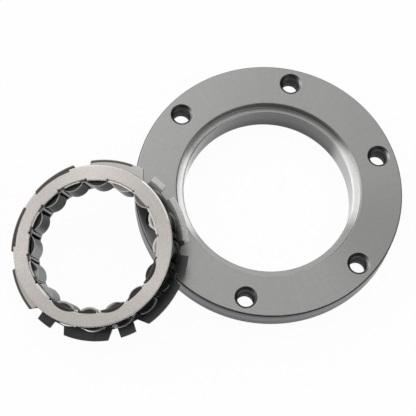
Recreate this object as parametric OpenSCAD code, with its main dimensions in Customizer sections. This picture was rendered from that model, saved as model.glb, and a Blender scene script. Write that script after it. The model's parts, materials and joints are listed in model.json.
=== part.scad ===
// Sprag clutch, shown taken apart: the bolted race ring lies flat with its counterbored face up,
// and the loose sprag cage leans on the ring's top edge. Z up, origin at the bottom of the bore.

/* [Race ring] */
// Outside diameter of the race ring
ring_d = 105; // [102:0.5:112]
// Height of the whole ring, pilot boss included
ring_h = 14.4; // [13:0.1:17]
// Thickness of the bolted flange
flange_t = 10.5; // [8:0.1:11.5]
// Depth of the counterbore that takes the tabbed flange of the cage
cbore_depth = 3; // [2:0.1:3.6]
// Radial clearance round the tabs in the counterbore
cbore_clear = 0.6; // [0.3:0.05:1]
// Chamfer on the turned corners
edge_c = 0.5; // [0.3:0.05:0.8]

/* [Tapped holes] */
// Distance from the rim of the ring to the middle of each hole
hole_edge = 6.5; // [5.6:0.1:7.4]
// Drill diameter of the tapped holes
drill_d = 6.8; // [5:0.1:7.2]
// Diameter of the countersunk mouth of each hole
mouth_d = 8.9; // [8:0.1:9.4]
// Angle of the first hole
hole_phase = 86; // [60:1:120]
// Wall between the pilot boss and the holes
boss_wall = 1.6; // [1:0.1:2.5]

/* [Sprags] */
// Diameter of the shaft that the clutch runs on
shaft_d = 50; // [47:0.5:53]
// Height of one sprag, shaft to race
sprag_h = 8.33; // [7.8:0.01:8.8]
// How far the unloaded sprags hang inside the shaft line
sprag_drop = 1.8; // [1.4:0.1:2]
// Radius of the rolling face on the race
cam_out = 7; // [6.4:0.05:7.4]
// Radius of the rolling face on the shaft
cam_in = 5.6; // [5.2:0.05:6]
// Sideways offset between the two rolling faces and the middle
cam_shift = 0.35; // [0.1:0.05:0.5]
// Half width of a sprag
sprag_hw = 4.2; // [3.8:0.05:4.25]
// Half width of a sprag at its waist
waist_hw = 3; // [2.6:0.05:3.1]
// Angle of the first sprag
sprag_phase = 3.7; // [0:0.1:10]

/* [Cages] */
// Height of the cage from its far lip to the top of the end plate
cage_h = 13.5; // [12.5:0.1:15]
// Sheet thickness of the outer cage, its tabbed flange and the end plate
outer_t = 0.9; // [0.7:0.05:1.1]
// Sheet thickness of the inner cage
inner_t = 0.6; // [0.45:0.05:0.7]
// Radial running clearance of the inner cage on the shaft
run_clear = 0.1; // [0.05:0.05:0.3]
// Outer cage wall, distance inside the race
wall_inset = 2.83; // [2.6:0.01:3.1]
// Reach of the seating tabs beyond the race
tab_reach = 2.07; // [1.6:0.01:2.4]
// Rim of the end plate, distance inside the race
plate_inset = 2.13; // [1.9:0.01:2.3]
// Side clearance between a sprag and its window in the inner cage
slot_clear = 0.3; // [0.25:0.05:0.4]
// Thickness of the ribbon spring strip
ribbon_t = 0.25; // [0.15:0.05:0.3]

/* [Resting pose] */
// Lean of the cage from level
lean = 17.76; // [15:0.1:20]
// Direction in which the cage slopes down
lean_dir = -140.22; // [-160:0.5:-120]
// Sideways distance of the cage from the line of the slope
side_shift = 12.7; // [8:0.1:15]
// Drawn air gap where the cage plane passes the corner of the ring
rest_gap = 0.05; // [0.02:0.01:0.3]

/* [Hidden] */
ring_r = ring_d / 2;
hole_n = 6;
sprag_n = 16;
hole_r = drill_d / 2;
bolt_r = ring_r - hole_edge;
boss_r = bolt_r - hole_r - boss_wall;
shaft_r = shaft_d / 2;
race_r = shaft_r + sprag_h;
tab_r = race_r + tab_reach;
cbore_r = tab_r + cbore_clear;
outer_r = race_r - wall_inset;
plate_r = race_r - plate_inset;
inner_r = shaft_r + run_clear;
sprag_c = shaft_r - sprag_drop + sprag_h / 2;
out_off = cam_out - sprag_h / 2;
in_off = cam_in - sprag_h / 2;
waist_r = 2.6;
plate_z = cage_h - outer_t;
tab_z = cbore_depth;
lip_t = 0.6;
skin = 0.1;
rim = 1;
win_lo = lip_t + 0.6;
win_hi = plate_z - rim;
end_gap = 0.3;
outer_hw = sprag_hw + 0.7;
inner_hw = sprag_hw + slot_clear;
ribbon_hw = waist_hw + 0.75;
ribbon_r = sprag_c + 0.8;
lens_gap = 0.35;
lens_shift = cam_shift / 3;
notch = 0.15;
key_corner = 0.4;
pad_in = shaft_r + run_clear + 0.05;
pad_out = inner_r + inner_t + skin;
pad_hw = 3.9;
tongue_gap = 0.8;
tongue_top = cage_h - 0.3;
cage_z = outer_r * sin(lean);
cage_s = ring_r + (ring_h - cage_z) / tan(lean) + rest_gap / sin(lean);
cage_x = cage_s * cos(lean_dir) + side_shift * sin(lean_dir);
cage_y = cage_s * sin(lean_dir) - side_shift * cos(lean_dir);

// Gaps between the seating tabs: first root, first tip, second tip and second root in degrees,
// then how far up the tabs the floor of the gap lies
deep = 0.15;
mid = 0.2;
shallow = 0.36;
gaps = [
    [41.5, 40.1, 48.8, 48.3, shallow],
    [59.3, 58.6, 67.6, 63.4, mid],
    [106.5, 102.6, 114.7, 111.5, deep],
    [148, 144.3, 156.8, 153, deep],
    [189.5, 185.9, 198.3, 194.5, deep],
    [229.5, 226, 234.4, 233.6, shallow],
    [245, 244.3, 254.6, 252.4, shallow],
    [287.4, 283.6, 292, 291.3, mid],
    [303.3, 302.2, 311.3, 306.4, mid],
    [345.6, 341.9, 349, 348.6, shallow],
    [361.6, 361.1, 370, 367, shallow]
];

function polar(r, a) = [r * cos(a), r * sin(a)];
function beyond(p, q) = [p[0] + 1.5 * (q[0] - p[0]), p[1] + 1.5 * (q[1] - p[1])];

// Moves a cage part from its own frame, far lip down, to the leaning pose
module in_cage() {
    translate([cage_x, cage_y, cage_z])
        rotate([0, 0, lean_dir])
            rotate([0, lean, 0])
                rotate([0, 0, -lean_dir])
                    children();
}

module at_site(i) {
    rotate([0, 0, sprag_phase + 360 / sprag_n * i])
        children();
}

module tube(r, t, z0, z1) {
    translate([0, 0, z0])
        difference() {
            cylinder(r = r, h = z1 - z0);
            translate([0, 0, -1])
                cylinder(r = r - t, h = z1 - z0 + 2);
        }
}

// Hardened ring: bolted flange, pilot boss, race bore and counterbore
module race_ring() {
    color([0.62, 0.62, 0.61])
        difference() {
            rotate_extrude()
                polygon([
                    [race_r, 0],
                    [boss_r - edge_c, 0],
                    [boss_r, edge_c],
                    [boss_r, ring_h - flange_t],
                    [ring_r - edge_c, ring_h - flange_t],
                    [ring_r, ring_h - flange_t + edge_c],
                    [ring_r, ring_h - edge_c],
                    [ring_r - edge_c, ring_h],
                    [cbore_r + edge_c, ring_h],
                    [cbore_r, ring_h - edge_c],
                    [cbore_r, ring_h - cbore_depth],
                    [race_r + edge_c, ring_h - cbore_depth],
                    [race_r, ring_h - cbore_depth - edge_c]
                ]);
            for (k = [0 : hole_n - 1])
                rotate([0, 0, hole_phase + 360 / hole_n * k])
                    translate([bolt_r, 0, 0])
                        tapped_hole();
        }
}

module tapped_hole() {
    sink = (mouth_d - drill_d) / 2;
    translate([0, 0, -1])
        cylinder(r = hole_r, h = ring_h + 2);
    translate([0, 0, ring_h - sink])
        cylinder(r1 = hole_r, r2 = hole_r + sink + 0.5, h = sink + 0.5);
    translate([0, 0, ring_h - flange_t - 0.5])
        cylinder(r1 = hole_r + sink + 0.5, r2 = hole_r, h = sink + 0.5);
}

// Outline of the seating flange with its eleven tabs
module tab_outline() {
    difference() {
        circle(r = tab_r);
        circle(r = outer_r - outer_t / 2);
        for (g = gaps) {
            floor_r = outer_r + g[4] * (tab_r - outer_r);
            a = polar(floor_r, g[0]);
            b = polar(floor_r, g[3]);
            polygon([a, beyond(a, polar(tab_r, g[1])), beyond(b, polar(tab_r, g[2])), b]);
        }
    }
}

module outer_window() {
    inner_x = outer_r - 2 * outer_t;
    translate([inner_x, -outer_hw, win_lo])
        cube([outer_r + notch - inner_x, 2 * outer_hw, win_hi - win_lo]);
    intersection() {
        translate([sprag_c - out_off, -lens_shift, win_lo])
            cylinder(r = cam_out + lens_gap, h = win_hi - win_lo);
        translate([outer_r - notch, -outer_hw, win_lo])
            cube([tab_r - outer_r, 2 * outer_hw, win_hi - win_lo]);
    }
}

// Outer cage: windowed wall with the tabbed seating flange
module outer_cage() {
    color([0.2, 0.2, 0.2])
        in_cage()
            difference() {
                union() {
                    tube(outer_r, outer_t, lip_t + skin, plate_z);
                    translate([0, 0, tab_z])
                        linear_extrude(outer_t)
                            tab_outline();
                }
                for (i = [0 : sprag_n - 1])
                    at_site(i)
                        outer_window();
            }
}

// End plate with eight flat keys on its inner edge
module end_plate() {
    color([0.8, 0.78, 0.75])
        in_cage()
            translate([0, 0, plate_z])
                linear_extrude(outer_t)
                    difference() {
                        circle(r = plate_r);
                        difference() {
                            circle(r = pad_out);
                            for (k = [0 : sprag_n / 2 - 1])
                                at_site(2 * k)
                                    translate([pad_in, -pad_hw])
                                        square([plate_r - pad_in, 2 * pad_hw]);
                        }
                        for (k = [0 : sprag_n / 2 - 1], s = [-1, 1])
                            at_site(2 * k)
                                translate([pad_out - key_corner, s * (pad_hw + key_corner)])
                                    circle(r = key_corner);
                    }
}

// Inner cage: windowed wall on the shaft, a flat lip at the far end and tongues between the keys
module inner_cage() {
    color([0.45, 0.44, 0.43])
        in_cage()
            difference() {
                union() {
                    tube(inner_r + inner_t, inner_t, 0, tongue_top);
                    tube(outer_r, outer_r - inner_r - inner_t / 2, 0, lip_t);
                }
                for (i = [0 : sprag_n - 1])
                    at_site(i)
                        translate([inner_r - 2 * inner_t, -inner_hw, win_lo])
                            cube([4 * inner_t, 2 * inner_hw, win_hi - win_lo]);
                for (k = [0 : sprag_n / 2 - 1])
                    at_site(2 * k)
                        translate([inner_r - 2 * inner_t, -pad_hw - tongue_gap, plate_z - skin])
                            cube([4 * inner_t, 2 * (pad_hw + tongue_gap), 2 * outer_t]);
            }
}

// Ribbon spring: thin strip between the cages, one window per sprag
module ribbon_spring() {
    color([0.55, 0.55, 0.6])
        in_cage()
            difference() {
                tube(ribbon_r, ribbon_t, lip_t + skin, plate_z);
                for (i = [0 : sprag_n - 1])
                    at_site(i)
                        translate([ribbon_r - 4 * ribbon_t, -ribbon_hw, win_lo])
                            cube([6 * ribbon_t, 2 * ribbon_hw, win_hi - win_lo]);
            }
}

// Sprag section: two rolling faces set off sideways, hollow flanks
module sprag_outline() {
    difference() {
        intersection() {
            translate([-out_off, -cam_shift])
                circle(r = cam_out);
            translate([in_off, cam_shift])
                circle(r = cam_in);
            square([2 * sprag_h, 2 * sprag_hw], center = true);
        }
        for (s = [-1, 1])
            translate([0, s * (waist_hw + waist_r)])
                circle(r = waist_r);
    }
}

module sprag(i) {
    color([0.35, 0.36, 0.37])
        in_cage()
            at_site(i)
                translate([sprag_c, 0, win_lo + end_gap])
                    linear_extrude(win_hi - win_lo - 2 * end_gap)
                        sprag_outline();
}

race_ring();
outer_cage();
end_plate();
inner_cage();
ribbon_spring();
sprag(0);  // sprag_01
sprag(1);  // sprag_02
sprag(2);  // sprag_03
sprag(3);  // sprag_04
sprag(4);  // sprag_05
sprag(5);  // sprag_06
sprag(6);  // sprag_07
sprag(7);  // sprag_08
sprag(8);  // sprag_09
sprag(9);  // sprag_10
sprag(10);  // sprag_11
sprag(11);  // sprag_12
sprag(12);  // sprag_13
sprag(13);  // sprag_14
sprag(14);  // sprag_15
sprag(15);  // sprag_16
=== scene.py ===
# Looks for the sprag clutch: a flanged race ring lying flat, with its loose sprag cage leaning on it.
import json
import math

import bpy
from mathutils import Matrix, Vector


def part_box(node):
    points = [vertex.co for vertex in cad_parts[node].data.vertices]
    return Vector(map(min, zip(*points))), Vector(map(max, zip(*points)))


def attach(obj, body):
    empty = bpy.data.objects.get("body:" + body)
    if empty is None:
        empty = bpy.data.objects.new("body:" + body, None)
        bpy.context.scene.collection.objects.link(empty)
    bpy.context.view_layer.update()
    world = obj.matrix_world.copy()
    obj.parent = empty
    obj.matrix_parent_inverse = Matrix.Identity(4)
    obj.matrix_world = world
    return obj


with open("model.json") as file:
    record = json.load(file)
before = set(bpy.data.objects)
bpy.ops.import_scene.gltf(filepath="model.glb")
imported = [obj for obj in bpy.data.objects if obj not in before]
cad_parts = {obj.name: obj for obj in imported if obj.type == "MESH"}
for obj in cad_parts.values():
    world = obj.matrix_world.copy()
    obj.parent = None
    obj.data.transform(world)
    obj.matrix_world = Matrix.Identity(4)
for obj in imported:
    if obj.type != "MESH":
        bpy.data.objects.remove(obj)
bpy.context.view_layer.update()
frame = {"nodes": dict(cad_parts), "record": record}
nodes = frame["nodes"]
record = frame["record"]
mounts = {m["name"]: m for m in record["mounts"]}

# Sizes and directions read from the frame, in metres
RING_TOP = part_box("race_ring")[1].z
RING_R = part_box("race_ring")[1].x
RACE_R = mounts["race_bore"]["dims"]["r_mm"] / 1000
SEAT_R = mounts["counterbore"]["dims"]["r_mm"] / 1000
BOLT_R = mounts["bolt_circle"]["dims"]["pcd_mm"] / 2000
HOLE_R = mounts["bolt_circle"]["dims"]["hole_r_mm"] / 1000
HOLE_COUNT = mounts["bolt_circle"]["dims"]["count"]
CAGE_AXIS = Vector(mounts["shaft_way"]["axis"]).normalized()
CAGE_TURN = next(j for j in record["behaviour"]["joints"] if j["name"] == "inner_cage_turn")
CAGE_FOOT = Vector(CAGE_TURN["pos_m"])
CAGE_LEAN = Vector((0, 0, 1)).rotation_difference(CAGE_AXIS)
CAGE_X = CAGE_LEAN @ Vector((1, 0, 0))
CAGE_Y = CAGE_LEAN @ Vector((0, 1, 0))

# The ring's sizes that the record doesn't state, in metres and degrees
LEDGE_Z = RING_TOP - 0.003
MOUTH_R = HOLE_R + 0.00105
# Heights of the bands of painted dark reflection on the rim
RIM_LINE_Z = RING_TOP - 0.0026
RIM_FOOT_Z = RING_TOP - 0.0062
FIRST_HOLE = 86.0
THREAD_PITCH = 0.00125
THREAD_DEPTH = 0.008
THREAD_CREST = 0.00015
THREAD_START = 0.0049

# The cage's sizes that the record doesn't state, in metres and degrees
TAB_R = RACE_R + 0.00207
PLATE_R = RACE_R - 0.00213
PLATE_MIDDLE_R = 0.028
PLATE_EDGE_R = 0.0261
SHAFT_R = 0.025
TONGUE_FOOT = 0.0117
WINDOW_TOP = 0.0119
WINDOW_HALF = 0.0045
SPRAG_TOP = 0.0113
SPRAG_COUNT = 16
SPRAG_PITCH = 360.0 / SPRAG_COUNT
FIRST_SPRAG = 3.7
CAM_MIDDLE = Vector((0.0288, 0.00035))
CAM_R = 0.0056

# Painted shade: a dark arch on the plate at each near tongue: radius, fall per square degree, ends of
# arch and gap
ARCH_R = 0.0269
ARCH_FALL = 0.0000083
ARCH_END = 12.0
GAP_END = 14.2

# Tongues, in degrees from the middle: end of the part with a pale painted highlight, start and end of
# the part painted near-white for the backdrop seen through the gaps
PALE_END = 7.0
BRIGHT_START = 10.8
BRIGHT_END = 13.0

# Places round the ring with painted shade and painted highlights: start, end and softness in degrees
FAR_WALL_SHADE = (42.0, 148.0, 14.0)
DARK_BORE = (42.0, 165.0, 6.0)
BRIGHT_BORE = (171.0, 200.0, 4.0)
PLAIN_LEDGE = ((42.0, 164.0, 8.0), (218.0, 348.0, 9.0))

# Places round the cage with painted light and painted shade: start, end and softness in degrees
PLATE_NEAR_EDGE = (238.0, 352.0, 3.0)
PLATE_LEFT_EDGE = (206.0, 234.0, 3.0)
PLATE_RIGHT_RIM = (23.0, 58.0, 1.5)
PLATE_LEFT_TABS = ((114.7, 144.3, 0.4), (156.8, 185.9, 0.4))
BROWN_TABS = (60.0, 226.0, 2.0)
HIGHLIT_TAB_TOPS = ((60.0, 106.0, 1.0), (192.0, 228.0, 1.0))
HIGHLIT_TAB_CORNER = (60.0, 75.0, 1.0)
GREY_TABS = (2.0, 60.0, 2.0)
REFLECTING_TABS = (5.0, 60.0, 1.0)
SHADOWED_TAB_END = (5.0, 10.9, 0.5)
BRIGHT_TONGUES = ((57.0, 84.0, 1.5), (14.0, 40.0, 1.5))
PALE_TONGUES = (100.0, 214.0, 4.0)
NEAR_TONGUES = (262.0, 335.0, 3.0)
DIM_SPRING = (200.0, 318.0, 12.0)
PALE_SPRAGS = (168.0, 240.0, 5.0)
BROAD_LIPS = ((238.0, 298.0, 3.0), (-5.0, 36.0, 3.0))
DULL_LIPS = (328.0, 350.0, 3.0)
BRIGHT_LIPS = (-5.0, 84.0, 2.0)

# End faces of sprags with painted light: place round the cage as above, then the tone
LIT_ENDS = (
    ((-1.0, 14.0, 2.0), 0.26),
    ((350.0, 362.0, 2.0), 0.26),
    ((16.0, 36.0, 2.0), (0.22, 0.19, 0.17)),
    ((39.0, 59.0, 2.0), 0.15),
    ((61.0, 84.0, 2.0), (0.26, 0.255, 0.25)),
    ((208.0, 242.0, 2.0), 0.40),
)

# Painted soft sheen: part of a full turn, and the share of the light painted there
RING_SHEEN = (
    (0.0, 0.88), (0.05, 1.0), (0.2, 1.0), (0.28, 0.95), (0.47, 1.02),
    (0.65, 1.1), (0.86, 1.1), (0.93, 0.87), (1.0, 0.88),
)
PLATE_SHEEN = (
    (0.0, 0.95), (0.08, 0.82), (0.15, 0.85), (0.27, 1.06), (0.38, 0.90),
    (0.54, 1.03), (0.65, 0.86), (0.82, 0.87), (0.92, 1.02), (1.0, 0.95),
)

# Direction of the walls that lie in shade at the holes' mouths
SHADED_SIDE = (0.6, -0.8, 0)

# Tones that two materials share: a near-white painted light for highlights and for the backdrop seen
# through gaps, and the brown-grey of a painted sheen
PAINTED_LIGHT_WHITE = (0.92, 0.91, 0.89)
PAINTED_BROWN_SHEEN = (0.085, 0.078, 0.070)

# Camera, fitted to the edges of the ring and the cage
CAMERA_SPOT = Vector((-0.02248, -0.23583, 0.59954))
CAMERA_TILT = 20.93
CAMERA_ROLL = 8.29
CAMERA_NEAR = 0.01
FOCAL_IN_FRAMES = 1612.0 / 416.0
SENSOR = 36.0

# Lamps aimed at the ring's middle: name, place, width and height in metres, power
LAMPS = (
    ("key", (-0.5, 0.55, 0.75), (0.9, 0.7), 2.4),
    ("fill", (0.7, -0.5, 0.8), (0.6, 0.6), 2),
    ("strip", (-0.8, 0.15, 0.28), (0.8, 0.3), 0.8),
)

# Sky: its brightest side, the tones from the dark side to that one, and its strength
SKY_SIDE = Vector((-0.45, 0.75, 0.45)).normalized()
SKY_TONES = ((0.1, (0.15, 0.15, 0.155)), (0.45, 0.405), (0.9, (1.0, 1.0, 0.99)))
SKY_STRENGTH = 0.88

# Floor: half its side, its drop under the ring and its tone
FLOOR_HALF = 2.5
FLOOR_DROP = 0.0001
FLOOR_TONE = 0.9


# Node helpers
def start_material(name):
    material = bpy.data.materials.new(name)
    material.use_nodes = True
    material.node_tree.nodes.clear()
    return material, material.node_tree


def add(tree, kind, **values):
    made = tree.nodes.new(kind)
    for key, value in values.items():
        setattr(made, key, value)
    return made


def feed(tree, source, target):
    tree.links.new(source, target)


def rgba(shade):
    """A colour from three parts, or a grey from one."""
    return (*shade, 1.0) if isinstance(shade, tuple) else (shade, shade, shade, 1.0)


def give(tree, value, target):
    """Feeds a socket from another one, or sets it to a plain value."""
    if isinstance(value, bpy.types.NodeSocket):
        feed(tree, value, target)
    elif target.type == "RGBA":
        target.default_value = rgba(value)
    else:
        target.default_value = value


def math_node(tree, operation, *values, clamp=False):
    made = add(tree, "ShaderNodeMath", operation=operation, use_clamp=clamp)
    for slot, value in enumerate(values):
        give(tree, value, made.inputs[slot])
    return made.outputs[0]


def vector_node(tree, operation, *values):
    made = add(tree, "ShaderNodeVectorMath", operation=operation)
    for slot, value in enumerate(values):
        give(tree, value, made.inputs[slot])
    return made.outputs["Value"] if operation in ("LENGTH", "DOT_PRODUCT") else made.outputs[0]


def ramp(tree, factor, stops):
    made = add(tree, "ShaderNodeValToRGB")
    elements = made.color_ramp.elements
    while len(elements) < len(stops):
        elements.new(0.5)
    for element, (spot, shade) in zip(elements, stops):
        element.position = spot
        element.color = rgba(shade)
    feed(tree, factor, made.inputs[0])
    return made.outputs[0]


def blend_colour(tree, factor, first, second, mode="MIX"):
    made = add(tree, "ShaderNodeMix", data_type="RGBA", blend_type=mode)
    for slot, value in ((0, factor), (6, first), (7, second)):
        give(tree, value, made.inputs[slot])
    return made.outputs[2]


def noise(tree, place, scale, detail, roughness, dimensions="3D"):
    """Noise over a place, or over a single value with 1D."""
    made = add(tree, "ShaderNodeTexNoise", noise_dimensions=dimensions)
    made.inputs["Scale"].default_value = scale
    made.inputs["Detail"].default_value = detail
    made.inputs["Roughness"].default_value = roughness
    feed(tree, place, made.inputs["W" if dimensions == "1D" else "Vector"])
    return made.outputs[0]


def steel_shader(tree, colour, roughness, relief, depth, corner, grazing=1.0):
    """Metal with a relief of the given depth and softly rounded corners."""
    shader = add(tree, "ShaderNodeBsdfPrincipled")
    shader.inputs["Metallic"].default_value = 1.0
    shader.inputs["Specular Tint"].default_value = rgba(grazing)
    give(tree, colour, shader.inputs["Base Color"])
    give(tree, roughness, shader.inputs["Roughness"])
    rounded = add(tree, "ShaderNodeBevel", samples=6)
    rounded.inputs["Radius"].default_value = corner
    bump = add(tree, "ShaderNodeBump")
    bump.inputs["Strength"].default_value = 1.0
    bump.inputs["Distance"].default_value = depth
    feed(tree, relief, bump.inputs["Height"])
    feed(tree, rounded.outputs[0], bump.inputs["Normal"])
    feed(tree, bump.outputs[0], shader.inputs["Normal"])
    out = add(tree, "ShaderNodeOutputMaterial")
    feed(tree, shader.outputs[0], out.inputs[0])


# Places on the pieces
def object_place(tree, middle=(0, 0, 0)):
    place = add(tree, "ShaderNodeTexCoord").outputs["Object"]
    return vector_node(tree, "SUBTRACT", place, middle)


def height_along(tree, place, axis):
    return vector_node(tree, "DOT_PRODUCT", place, axis)


def distance_from(tree, place, axis):
    """Distance from an axis through the middle."""
    along = add(tree, "ShaderNodeVectorMath", operation="SCALE")
    along.inputs[0].default_value = axis
    feed(tree, height_along(tree, place, axis), along.inputs["Scale"])
    return vector_node(tree, "LENGTH", vector_node(tree, "SUBTRACT", place, along.outputs[0]))


def turn_angle(tree, place, across, along):
    """Angle round an axis in degrees, 0 to 360."""
    x = vector_node(tree, "DOT_PRODUCT", place, across)
    y = vector_node(tree, "DOT_PRODUCT", place, along)
    angle = math_node(tree, "DEGREES", math_node(tree, "ARCTAN2", y, x))
    return math_node(tree, "FLOORED_MODULO", angle, 360.0)


def facing(tree, axis):
    """How far the surface faces along an axis, -1 to 1."""
    normal = add(tree, "ShaderNodeTexCoord").outputs["Normal"]
    return vector_node(tree, "DOT_PRODUCT", normal, axis)


def fold(tree, angle, first, pitch):
    """Angle in degrees from the nearest of evenly spaced places, below 0 before it."""
    shifted = math_node(tree, "SUBTRACT", angle, first - pitch / 2)
    return math_node(tree, "SUBTRACT", math_node(tree, "FLOORED_MODULO", shifted, pitch), pitch / 2)


def near_place(tree, radius, angle, first, pitch):
    """Distance out and sideways, measured along the nearest of evenly spaced rays."""
    folded = math_node(tree, "RADIANS", fold(tree, angle, first, pitch))
    out = math_node(tree, "MULTIPLY", radius, math_node(tree, "COSINE", folded))
    aside = math_node(tree, "MULTIPLY", radius, math_node(tree, "SINE", folded))
    return out, aside


def span(tree, x, y):
    """Length of a flat step of x and y."""
    square = math_node(tree, "MULTIPLY", y, y)
    square = math_node(tree, "ADD", math_node(tree, "MULTIPLY", x, x), square)
    return math_node(tree, "SQRT", square)


def from_hole(tree, radius, angle):
    """Distance from the axis of the nearest bolt hole."""
    out, aside = near_place(tree, radius, angle, FIRST_HOLE, 360.0 / HOLE_COUNT)
    return span(tree, math_node(tree, "SUBTRACT", out, BOLT_R), aside)


def at_site(tree, radius, angle):
    """Distance out and sideways at the nearest sprag."""
    return near_place(tree, radius, angle, FIRST_SPRAG, SPRAG_PITCH)


def from_tongue(tree, angle):
    """Angle from the middle of the nearest tongue: one stands at every second sprag."""
    return math_node(tree, "ABSOLUTE", fold(tree, angle, FIRST_SPRAG + SPRAG_PITCH, 2 * SPRAG_PITCH))


# Masks, 0 outside and 1 inside
def below(tree, value, edge):
    return math_node(tree, "LESS_THAN", value, edge)


def step_up(tree, value, edge, soft):
    """0 below the edge and 1 above it, with a soft change."""
    made = add(tree, "ShaderNodeMapRange", interpolation_type="SMOOTHSTEP")
    feed(tree, value, made.inputs["Value"])
    made.inputs["From Min"].default_value = edge - soft
    made.inputs["From Max"].default_value = edge + soft
    return made.outputs[0]


def band(tree, value, low, high, soft):
    past_low = step_up(tree, value, low, soft)
    past_high = step_up(tree, value, high, soft)
    return math_node(tree, "SUBTRACT", past_low, past_high, clamp=True)


def both(tree, *masks):
    made = masks[0]
    for mask in masks[1:]:
        made = math_node(tree, "MULTIPLY", made, mask)
    return made


def either(tree, *masks):
    made = masks[0]
    for mask in masks[1:]:
        made = math_node(tree, "MAXIMUM", made, mask)
    return made


def sector(tree, angle, *places):
    """Places round an axis, each with a start, an end and a softness."""
    return either(tree, *(band(tree, angle, *place) for place in places))


def upright(tree, axis):
    """Walls that run along the axis, not the faces square to it."""
    return below(tree, math_node(tree, "ABSOLUTE", facing(tree, axis)), 0.6)


def sheen(tree, colour, angle, stops):
    """The colour with a painted sheen, lighter and darker in turn round its axis."""
    part_turn = math_node(tree, "DIVIDE", angle, 360.0)
    return blend_colour(tree, 1.0, colour, ramp(tree, part_turn, stops), "MULTIPLY")


# Materials
def turned_steel():
    """The ring: tool marks and a painted sheen on the face, a painted highlight on the ledge, a ground
    bore with painted shade and a painted highlight, painted shade in the holes and painted dark
    reflections on the rim.
    """
    material, tree = start_material("turned_steel")
    place = object_place(tree)
    height = height_along(tree, place, (0, 0, 1))
    radius = distance_from(tree, place, (0, 0, 1))
    angle = turn_angle(tree, place, (1, 0, 0), (0, 1, 0))
    hole = from_hole(tree, radius, angle)
    rings = noise(tree, radius, 2600.0, 2.0, 0.6, "1D")
    grain = noise(tree, place, 1500.0, 3.0, 0.65)
    cloud = noise(tree, place, 45.0, 2.0, 0.5)
    tone = math_node(tree, "MULTIPLY", math_node(tree, "ADD", rings, grain), 0.5)
    colour = ramp(tree, tone, ((0.3, (0.31, 0.31, 0.303)), (0.7, (0.385, 0.385, 0.378))))
    # Painted sheen on the face: soft streaks round the ring, then lighter and darker sectors
    streaks = noise(tree, angle, 0.55, 3.0, 0.6, "1D")
    streaks = ramp(tree, streaks, ((0.3, 0.975), (0.7, 1.02)))
    colour = blend_colour(tree, 1.0, colour, streaks, "MULTIPLY")
    colour = sheen(tree, colour, angle, RING_SHEEN)
    colour = blend_colour(tree, math_node(tree, "MULTIPLY", cloud, 0.3), colour, (0.40, 0.40, 0.39))

    inside = below(tree, radius, SEAT_R + 0.0008)
    wall = both(tree, inside, band(tree, height, LEDGE_Z + 0.0003, RING_TOP - 0.0003, 0.0002))
    # Counterbore wall: painted shade on the far side, a lighter grey on the rest
    far_wall_shade = sector(tree, angle, FAR_WALL_SHADE)
    wall_tone = blend_colour(tree, far_wall_shade, (0.46, 0.46, 0.45), (0.16, 0.158, 0.155))
    colour = blend_colour(tree, wall, colour, wall_tone)

    # Bore: mid grey, with painted shade on the far side that grows darker deeper down, a painted
    # highlight in one narrow sector, and ground marks over all
    bore = both(tree, inside, below(tree, height, LEDGE_Z + 0.0001))
    dark_bore = both(tree, bore, sector(tree, angle, DARK_BORE))
    bright_bore = both(tree, bore, sector(tree, angle, BRIGHT_BORE))
    depth_tone = blend_colour(tree, step_up(tree, height, 0.0045, 0.004), 0.03, 0.10)
    colour = blend_colour(tree, bore, colour, 0.40)
    colour = blend_colour(tree, dark_bore, colour, depth_tone)
    colour = blend_colour(tree, bright_bore, colour, 0.8)
    ground = noise(tree, height, 3600.0, 2.0, 0.6, "1D")
    ground = ramp(tree, ground, ((0.3, 0.78), (0.7, 1.12)))
    colour = blend_colour(tree, bore, colour, blend_colour(tree, 1.0, colour, ground, "MULTIPLY"))

    # Ledge: a painted highlight, except in the plain sectors, which keep a mid grey
    ledge = both(tree, inside, band(tree, height, LEDGE_Z - 0.0006, LEDGE_Z + 0.0002, 0.00005))
    plain = sector(tree, angle, *PLAIN_LEDGE)
    ledge_highlight = blend_colour(tree, plain, (0.88, 0.88, 0.87), (0.42, 0.42, 0.41))
    colour = blend_colour(tree, ledge, colour, ledge_highlight)

    # Holes: painted shade on the walls, darker in the thread grooves than on the crests
    in_hole = below(tree, hole, HOLE_R + THREAD_CREST)
    groove = step_up(tree, hole, HOLE_R - 0.00007, 0.00003)
    thread_tone = blend_colour(tree, groove, (0.085, 0.085, 0.09), (0.022, 0.022, 0.025))
    colour = blend_colour(tree, in_hole, colour, thread_tone)
    # Hole mouths: painted shade on the walls that face the shaded side, a lighter grey on the rest
    mouth = band(tree, hole, HOLE_R + 0.0001, MOUTH_R, 0.0001)
    shaded = step_up(tree, facing(tree, SHADED_SIDE), 0.05, 0.35)
    mouth_tone = blend_colour(tree, shaded, (0.40, 0.39, 0.38), (0.07, 0.068, 0.066))
    colour = blend_colour(tree, mouth, colour, mouth_tone)

    # Outer rim: painted dark reflections in bands, darkest just under the top edge and dark again at
    # the foot
    rim = step_up(tree, radius, RING_R - 0.0003, 0.0001)
    top_line = both(tree, rim, step_up(tree, height, RIM_LINE_Z, 0.0004))
    low_line = both(tree, rim, below(tree, height, RIM_FOOT_Z))
    colour = blend_colour(tree, rim, colour, (0.105, 0.11, 0.116))
    colour = blend_colour(tree, top_line, colour, (0.022, 0.024, 0.026))
    colour = blend_colour(tree, low_line, colour, (0.050, 0.054, 0.059))

    gloss = ramp(tree, grain, ((0.3, 0.30), (0.7, 0.40)))
    gloss = blend_colour(tree, either(tree, bore, wall), gloss, 0.17)
    gloss = blend_colour(tree, ledge, gloss, 0.42)
    steel_shader(tree, colour, gloss, tone, depth=0.000010, corner=0.00025)
    return material


def cage_material(name):
    """A new material, with the place from the cage's foot and the angle round the cage's axis."""
    material, tree = start_material(name)
    place = object_place(tree, CAGE_FOOT)
    return material, tree, place, turn_angle(tree, place, CAGE_X, CAGE_Y)


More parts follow.
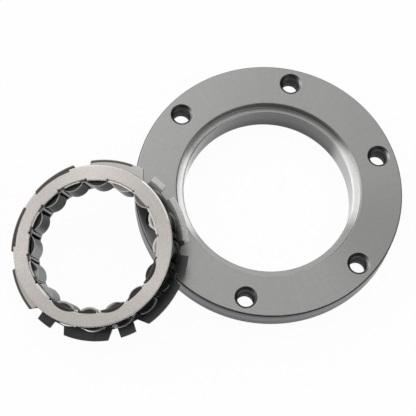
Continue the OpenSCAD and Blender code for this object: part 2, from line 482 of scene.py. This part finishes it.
def satin_steel():
    """The end plate: pale warm satin with a painted sheen, painted shade in dark arches at the near
    tongues, painted highlights on its edges, and painted near-white where the bright backdrop shows
    through the gaps.
    """
    material, tree, place, angle = cage_material("satin_steel")
    radius = distance_from(tree, place, CAGE_AXIS)
    turn = from_tongue(tree, angle)
    grain = noise(tree, place, 1700.0, 4.0, 0.75)
    cloud = noise(tree, place, 110.0, 2.0, 0.5)
    colour = ramp(tree, grain, ((0.28, (0.50, 0.468, 0.446)), (0.72, (0.75, 0.722, 0.695))))
    colour = blend_colour(tree, math_node(tree, "MULTIPLY", cloud, 0.35), colour, (0.72, 0.67, 0.635))
    # Painted sheen: the plate lighter and darker by angle
    colour = sheen(tree, colour, angle, PLATE_SHEEN)

    # Painted shade on the near side of the plate's inner edge: dark arches at the tongues and a dark
    # flat edge beyond them
    near_side = sector(tree, angle, PLATE_NEAR_EDGE)
    in_edge = below(tree, radius, PLATE_EDGE_R)
    arch_r = math_node(tree, "MULTIPLY", turn, turn)
    arch_r = math_node(tree, "MULTIPLY_ADD", arch_r, -ARCH_FALL, ARCH_R)
    arch = both(tree, below(tree, radius, arch_r), below(tree, turn, ARCH_END))
    flat_edge = both(tree, in_edge, math_node(tree, "GREATER_THAN", turn, GAP_END))
    dark_edge = both(tree, near_side, either(tree, arch, flat_edge))
    colour = blend_colour(tree, dark_edge, colour, (0.045, 0.043, 0.04))

    # The plate's outer rim over the left tabs, painted in the brown-grey tone of the painted sheen on
    # those tabs
    rim = step_up(tree, radius, PLATE_R - 0.0009, 0.00015)
    over_tabs = both(tree, sector(tree, angle, *PLATE_LEFT_TABS), rim)
    colour = blend_colour(tree, over_tabs, colour, PAINTED_BROWN_SHEEN)

    # Painted highlights: a line on the left part of the inner edge, a line on the right part of the
    # outer rim and the inner walls; between the arches, painted near-white where the bright backdrop
    # shows through
    left_edge = sector(tree, angle, PLATE_LEFT_EDGE)
    inner_line = both(tree, left_edge, band(tree, radius, 0.0, PLATE_EDGE_R, 0.00004))
    colour = blend_colour(tree, inner_line, colour, (0.74, 0.73, 0.71))
    rim_line = step_up(tree, radius, PLATE_R - 0.0005, 0.00005)
    outer_line = both(tree, sector(tree, angle, PLATE_RIGHT_RIM), rim_line)
    inner_wall = both(tree, upright(tree, CAGE_AXIS), below(tree, radius, PLATE_MIDDLE_R))
    between = both(tree, near_side, band(tree, turn, ARCH_END, GAP_END, 0.2), in_edge)
    edge = either(tree, outer_line, inner_wall, between)
    colour = blend_colour(tree, edge, colour, PAINTED_LIGHT_WHITE)

    gloss = ramp(tree, grain, ((0.3, 0.38), (0.7, 0.50)))
    gloss = blend_colour(tree, edge, gloss, 0.3)
    steel_shader(tree, colour, gloss, grain, depth=0.00002, corner=0.0007)
    return material


def black_sheet():
    """The outer cage: near-black oxide on pressed sheet, with a painted sheen that makes it lighter on
    the right and brown-grey on the left, painted highlights and grained painted reflections on the tab
    tops, and a painted shadow at one tab's end.
    """
    material, tree, place, angle = cage_material("black_sheet")
    radius = distance_from(tree, place, CAGE_AXIS)
    grain = noise(tree, place, 2400.0, 3.0, 0.6)
    cloud = noise(tree, place, 160.0, 2.0, 0.5)
    colour = ramp(tree, cloud, ((0.3, (0.040, 0.042, 0.044)), (0.7, (0.070, 0.071, 0.073))))
    # Painted sheen: a little lighter on the right side, brown-grey on the left side
    right_side = either(tree, step_up(tree, angle, 290.0, 20.0), below(tree, angle, 62.0))
    colour = blend_colour(tree, right_side, colour, (0.078, 0.080, 0.082))
    brown = sector(tree, angle, BROWN_TABS)
    colour = blend_colour(tree, brown, colour, PAINTED_BROWN_SHEEN)

    # Painted highlights on the tops of some tabs, inside their outer edges
    highlight_part = band(tree, radius, PLATE_R, TAB_R - 0.0010, 0.0001)
    highlight_top = both(tree, sector(tree, angle, *HIGHLIT_TAB_TOPS), highlight_part)
    colour = blend_colour(tree, highlight_top, colour, (0.50, 0.49, 0.47))
    # Painted highlight along the outer edge of the brown-grey tabs
    edge_highlight = both(tree, brown, step_up(tree, radius, TAB_R - 0.0003, 0.0001))
    colour = blend_colour(tree, edge_highlight, colour, (0.28, 0.27, 0.26))
    # Painted highlight on the end of one tab, past the plate
    past_plate = step_up(tree, radius, PLATE_R + 0.0002, 0.0001)
    corner = both(tree, sector(tree, angle, HIGHLIT_TAB_CORNER), past_plate)
    colour = blend_colour(tree, corner, colour, (0.52, 0.51, 0.49))

    # Painted reflection: a grey band on the outer part of some tabs
    grey_part = step_up(tree, radius, TAB_R - 0.0034, 0.0016)
    grey = both(tree, sector(tree, angle, GREY_TABS), grey_part)
    colour = blend_colour(tree, grey, colour, (0.24, 0.238, 0.23))
    # Painted reflection, light and grained, on the outer band of some tabs, which are also rougher
    # there
    reflection_part = step_up(tree, radius, TAB_R - 0.0021, 0.0002)
    painted_reflection = both(tree, sector(tree, angle, REFLECTING_TABS), reflection_part)
    reflection_tone = ramp(tree, grain, ((0.35, (0.46, 0.455, 0.44)), (0.65, (0.72, 0.71, 0.695))))
    colour = blend_colour(tree, painted_reflection, colour, reflection_tone)
    # Painted shadow at the lower end of one tab
    root_part = band(tree, radius, PLATE_R, TAB_R - 0.0014, 0.0006)
    shadow_end = both(tree, sector(tree, angle, SHADOWED_TAB_END), root_part)
    colour = blend_colour(tree, shadow_end, colour, 0.06)

    gloss = ramp(tree, grain, ((0.3, 0.24), (0.7, 0.34)))
    gloss = blend_colour(tree, painted_reflection, gloss, 0.5)
    steel_shader(tree, colour, gloss, grain, depth=0.000008, corner=0.0003)
    return material


def inner_sheet():
    """The inner cage: thin dark pressed sheet with painted highlights on the window edges and tongues,
    painted shade beside the windows and painted near-white where the bright backdrop shows through the
    gaps.
    """
    material, tree, place, angle = cage_material("inner_sheet")
    height = height_along(tree, place, CAGE_AXIS)
    radius = distance_from(tree, place, CAGE_AXIS)
    aside = at_site(tree, radius, angle)[1]
    turn = from_tongue(tree, angle)
    grain = noise(tree, place, 1200.0, 3.0, 0.6)
    cloud = noise(tree, place, 120.0, 2.0, 0.5)
    colour = ramp(tree, cloud, ((0.3, (0.07, 0.069, 0.068)), (0.7, (0.14, 0.138, 0.135))))

    window_part = below(tree, height, WINDOW_TOP)
    # Painted highlight along one side of each window
    window_edge_highlight = band(tree, aside, WINDOW_HALF - 0.0001, WINDOW_HALF + 0.00025, 0.0001)
    colour = blend_colour(tree, both(tree, window_edge_highlight, window_part), colour, (0.42, 0.415, 0.405))
    # Painted shade on the other side of each window
    shaded = below(tree, aside, -WINDOW_HALF)
    colour = blend_colour(tree, both(tree, shaded, window_part), colour, 0.05)

    # Painted highlights on the tops of the tongues in two sectors
    tongues = step_up(tree, height, TONGUE_FOOT, 0.0001)
    bright = both(tree, sector(tree, angle, *BRIGHT_TONGUES), tongues)
    colour = blend_colour(tree, bright, colour, (0.80, 0.77, 0.74))
    # Painted highlight, paler, on the middle of the tongue tops in a wider sector
    pale = both(tree, sector(tree, angle, PALE_TONGUES), below(tree, turn, PALE_END), tongues)
    colour = blend_colour(tree, pale, colour, (0.62, 0.60, 0.58))
    # Near the tongue ends on the near side: painted near-white where the bright backdrop shows through
    # the gaps
    ends = band(tree, turn, BRIGHT_START, BRIGHT_END, 0.2)
    ends = both(tree, sector(tree, angle, NEAR_TONGUES), ends, tongues)
    colour = blend_colour(tree, ends, colour, PAINTED_LIGHT_WHITE)

    gloss = ramp(tree, grain, ((0.3, 0.20), (0.7, 0.32)))
    steel_shader(tree, colour, gloss, grain, depth=0.000008, corner=0.0003)
    return material


def spring_strip():
    """The ribbon spring: bright thin strip, with painted shade on the near side."""
    material, tree, place, angle = cage_material("spring_strip")
    grain = noise(tree, place, 1400.0, 2.0, 0.5)
    colour = ramp(tree, grain, ((0.3, (0.34, 0.34, 0.345)), (0.7, (0.46, 0.46, 0.465))))
    # Painted shade on the near side
    colour = blend_colour(tree, sector(tree, angle, DIM_SPRING), colour, (0.13, 0.13, 0.135))
    steel_shader(tree, colour, 0.22, grain, depth=0.000005, corner=0.0001)
    return material


def sprag_steel():
    """The sprags: dark hardened steel, with painted light on one side of some of them, painted shade
    and painted light on the end faces and a painted highlight on the inner edge.
    """
    material, tree, place, angle = cage_material("sprag_steel")
    height = height_along(tree, place, CAGE_AXIS)
    radius = distance_from(tree, place, CAGE_AXIS)
    out, aside = at_site(tree, radius, angle)
    grain = noise(tree, place, 1300.0, 3.0, 0.6)
    cloud = noise(tree, place, 200.0, 2.0, 0.5)
    colour = ramp(tree, cloud, ((0.3, (0.030, 0.031, 0.032)), (0.7, (0.055, 0.056, 0.057))))
    # Painted light: some sprags paler towards one side
    pale = both(tree, sector(tree, angle, PALE_SPRAGS), step_up(tree, aside, -0.0008, 0.0022))
    colour = blend_colour(tree, pale, colour, (0.29, 0.295, 0.30))

    # End faces: painted shade, with painted light in some sectors
    end_face = step_up(tree, height, SPRAG_TOP - 0.0001, 0.00005)
    colour = blend_colour(tree, end_face, colour, (0.045, 0.046, 0.048))
    for place_round, shade in LIT_ENDS:
        lit = both(tree, end_face, sector(tree, angle, place_round))
        colour = blend_colour(tree, lit, colour, shade)

    # Painted highlight along the inner edge at the top, broader in some sectors, dimmer in one and
    # brighter in another
    from_cam_x = math_node(tree, "SUBTRACT", out, CAM_MIDDLE.x)
    from_cam_y = math_node(tree, "SUBTRACT", aside, CAM_MIDDLE.y)
    reach = span(tree, from_cam_x, from_cam_y)
    thin = step_up(tree, reach, CAM_R - 0.0003, 0.0001)
    broad = step_up(tree, reach, CAM_R - 0.0008, 0.0003)
    broad = both(tree, broad, sector(tree, angle, *BROAD_LIPS))
    at_top = step_up(tree, height, SPRAG_TOP - 0.0003, 0.0001)
    lip = both(tree, below(tree, out, SHAFT_R), either(tree, thin, broad), at_top)
    lip_tone = blend_colour(tree, sector(tree, angle, DULL_LIPS), (0.44, 0.43, 0.42), 0.13)
    lip_tone = blend_colour(tree, sector(tree, angle, BRIGHT_LIPS), lip_tone, (0.70, 0.66, 0.63))
    colour = blend_colour(tree, lip, colour, lip_tone)

    gloss = ramp(tree, grain, ((0.3, 0.18), (0.7, 0.28)))
    steel_shader(tree, colour, gloss, grain, depth=0.000006, corner=0.0003, grazing=0.6)
    return material


def dress(node, material):
    slots = nodes[node].data.materials
    slots.clear()
    slots.append(material)


# Threads
def thread_tree(material):
    """Geometry Nodes tree: one helical ridge, repeated round the bolt circle."""
    tree = bpy.data.node_groups.new("hole_threads", "GeometryNodeTree")
    face = tree.interface
    for name, kind, value in (
        ("Hole radius", "NodeSocketFloat", HOLE_R), ("Pitch", "NodeSocketFloat", THREAD_PITCH),
        ("Depth", "NodeSocketFloat", THREAD_DEPTH), ("Crest", "NodeSocketFloat", THREAD_CREST),
        ("Circle radius", "NodeSocketFloat", BOLT_R), ("First angle", "NodeSocketFloat", 0.0),
        ("Start height", "NodeSocketFloat", 0.0), ("Count", "NodeSocketInt", HOLE_COUNT),
    ):
        face.new_socket(name, in_out="INPUT", socket_type=kind).default_value = value
    face.new_socket("Geometry", in_out="OUTPUT", socket_type="NodeSocketGeometry")
    given = add(tree, "NodeGroupInput").outputs
    turns = math_node(tree, "DIVIDE", given["Depth"], given["Pitch"])
    spiral = add(tree, "GeometryNodeCurveSpiral")
    spiral.inputs["Resolution"].default_value = 36
    feed(tree, turns, spiral.inputs["Rotations"])
    feed(tree, given["Hole radius"], spiral.inputs["Start Radius"])
    feed(tree, given["Hole radius"], spiral.inputs["End Radius"])
    feed(tree, given["Depth"], spiral.inputs["Height"])
    ridge = add(tree, "GeometryNodeCurvePrimitiveCircle")
    ridge.inputs["Resolution"].default_value = 4
    feed(tree, given["Crest"], ridge.inputs["Radius"])
    swept = add(tree, "GeometryNodeCurveToMesh")
    swept.inputs["Fill Caps"].default_value = True
    feed(tree, spiral.outputs[0], swept.inputs["Curve"])
    feed(tree, ridge.outputs[0], swept.inputs["Profile Curve"])
    ring = add(tree, "GeometryNodeMeshCircle")
    feed(tree, given["Count"], ring.inputs["Vertices"])
    feed(tree, given["Circle radius"], ring.inputs["Radius"])
    turn = add(tree, "ShaderNodeCombineXYZ")
    feed(tree, given["First angle"], turn.inputs["Z"])
    lift = add(tree, "ShaderNodeCombineXYZ")
    feed(tree, given["Start height"], lift.inputs["Z"])
    placed = add(tree, "GeometryNodeTransform")
    feed(tree, ring.outputs[0], placed.inputs["Geometry"])
    feed(tree, turn.outputs[0], placed.inputs["Rotation"])
    feed(tree, lift.outputs[0], placed.inputs["Translation"])
    repeated = add(tree, "GeometryNodeInstanceOnPoints")
    feed(tree, placed.outputs[0], repeated.inputs["Points"])
    feed(tree, swept.outputs[0], repeated.inputs["Instance"])
    real = add(tree, "GeometryNodeRealizeInstances")
    feed(tree, repeated.outputs[0], real.inputs[0])
    painted = add(tree, "GeometryNodeSetMaterial")
    painted.inputs["Material"].default_value = material
    feed(tree, real.outputs[0], painted.inputs["Geometry"])
    out = add(tree, "NodeGroupOutput")
    feed(tree, painted.outputs[0], out.inputs[0])
    return tree


def grown(name, tree, **values):
    """A plain mesh object from a Geometry Nodes tree with the given inputs."""
    carrier = bpy.data.objects.new(name + "_carrier", bpy.data.meshes.new(name + "_carrier"))
    bpy.context.collection.objects.link(carrier)
    modifier = carrier.modifiers.new("grow", "NODES")
    modifier.node_group = tree
    ids = {item.name: item.identifier for item in tree.interface.items_tree if item.in_out == "INPUT"}
    for key, value in values.items():
        modifier[ids[key.replace("_", " ")]] = value
    graph = bpy.context.evaluated_depsgraph_get()
    mesh = bpy.data.meshes.new_from_object(carrier.evaluated_get(graph))
    bpy.data.objects.remove(carrier)
    piece = bpy.data.objects.new(name, mesh)
    bpy.context.collection.objects.link(piece)
    return piece


# Camera, lamps and floor
def place_camera():
    data = bpy.data.cameras.new("camera")
    data.sensor_width = SENSOR
    data.lens = SENSOR * FOCAL_IN_FRAMES
    data.clip_start = CAMERA_NEAR
    camera = bpy.data.objects.new("camera", data)
    bpy.context.collection.objects.link(camera)
    tilt = Matrix.Rotation(math.radians(CAMERA_TILT), 4, "X")
    roll = Matrix.Rotation(math.radians(CAMERA_ROLL), 4, "Z")
    camera.matrix_world = Matrix.Translation(CAMERA_SPOT) @ tilt @ roll
    bpy.context.scene.camera = camera


def lamp(name, spot, size, power):
    data = bpy.data.lights.new(name, "AREA")
    data.shape = "RECTANGLE"
    data.size, data.size_y = size
    data.energy = power
    made = bpy.data.objects.new(name, data)
    bpy.context.collection.objects.link(made)
    made.location = spot
    made.rotation_mode = "QUATERNION"
    made.rotation_quaternion = (-Vector(spot)).to_track_quat("-Z", "Y")


def white_where_seen(tree, lit, camera_share=0.96, mirror_share=0.9):
    """Mixes a plain white in for what the camera and mirror rays see."""
    path = add(tree, "ShaderNodeLightPath").outputs
    mirror = math_node(tree, "MAXIMUM", path["Is Glossy Ray"], path["Is Transmission Ray"])
    mirror = math_node(tree, "MULTIPLY", mirror, mirror_share)
    seen = math_node(tree, "MULTIPLY", path["Is Camera Ray"], camera_share)
    seen = math_node(tree, "MAXIMUM", seen, mirror)
    glow = add(tree, "ShaderNodeEmission")
    glow.inputs["Strength"].default_value = 1.0
    mixed = add(tree, "ShaderNodeMixShader")
    feed(tree, seen, mixed.inputs[0])
    feed(tree, lit, mixed.inputs[1])
    feed(tree, glow.outputs[0], mixed.inputs[2])
    return mixed.outputs[0]


def lay_floor():
    mesh = bpy.data.meshes.new("floor")
    half = FLOOR_HALF
    corners = [(-half, -half, 0), (half, -half, 0), (half, half, 0), (-half, half, 0)]
    mesh.from_pydata(corners, [], [(0, 1, 2, 3)])
    floor = bpy.data.objects.new("floor", mesh)
    bpy.context.collection.objects.link(floor)
    floor.location.z = -FLOOR_DROP
    material, tree = start_material("white_floor")
    matt = add(tree, "ShaderNodeBsdfDiffuse")
    matt.inputs["Color"].default_value = rgba(FLOOR_TONE)
    out = add(tree, "ShaderNodeOutputMaterial")
    feed(tree, white_where_seen(tree, matt.outputs[0]), out.inputs[0])
    mesh.materials.append(material)


def light_world():
    """A soft sky, brighter on one side, that the camera sees as plain white."""
    world = bpy.data.worlds.new("studio")
    bpy.context.scene.world = world
    world.use_nodes = True
    tree = world.node_tree
    tree.nodes.clear()
    look = add(tree, "ShaderNodeTexCoord").outputs["Generated"]
    side = vector_node(tree, "DOT_PRODUCT", look, SKY_SIDE)
    side = math_node(tree, "MULTIPLY_ADD", side, 0.5, 0.5)
    soft = add(tree, "ShaderNodeBackground")
    feed(tree, ramp(tree, side, SKY_TONES), soft.inputs["Color"])
    soft.inputs["Strength"].default_value = SKY_STRENGTH
    white = add(tree, "ShaderNodeBackground")
    white.inputs["Color"].default_value = rgba(1.0)
    mixed = add(tree, "ShaderNodeMixShader")
    feed(tree, add(tree, "ShaderNodeLightPath").outputs["Is Camera Ray"], mixed.inputs[0])
    feed(tree, soft.outputs[0], mixed.inputs[1])
    feed(tree, white.outputs[0], mixed.inputs[2])
    out = add(tree, "ShaderNodeOutputWorld")
    feed(tree, mixed.outputs[0], out.inputs[0])


place_camera()
steel = turned_steel()
dress("race_ring", steel)
dress("outer_cage", black_sheet())
dress("end_plate", satin_steel())
dress("inner_cage", inner_sheet())
dress("ribbon_spring", spring_strip())
sprag = sprag_steel()
for name in nodes:
    if name.startswith("sprag_"):
        dress(name, sprag)

first_angle = math.radians(FIRST_HOLE)
threads = grown("hole_threads", thread_tree(steel), First_angle=first_angle, Start_height=THREAD_START)
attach(threads, "race_ring")

lay_floor()
light_world()
for name, spot, size, power in LAMPS:
    lamp(name, spot, size, power)
bpy.context.scene.view_settings.view_transform = "Standard"
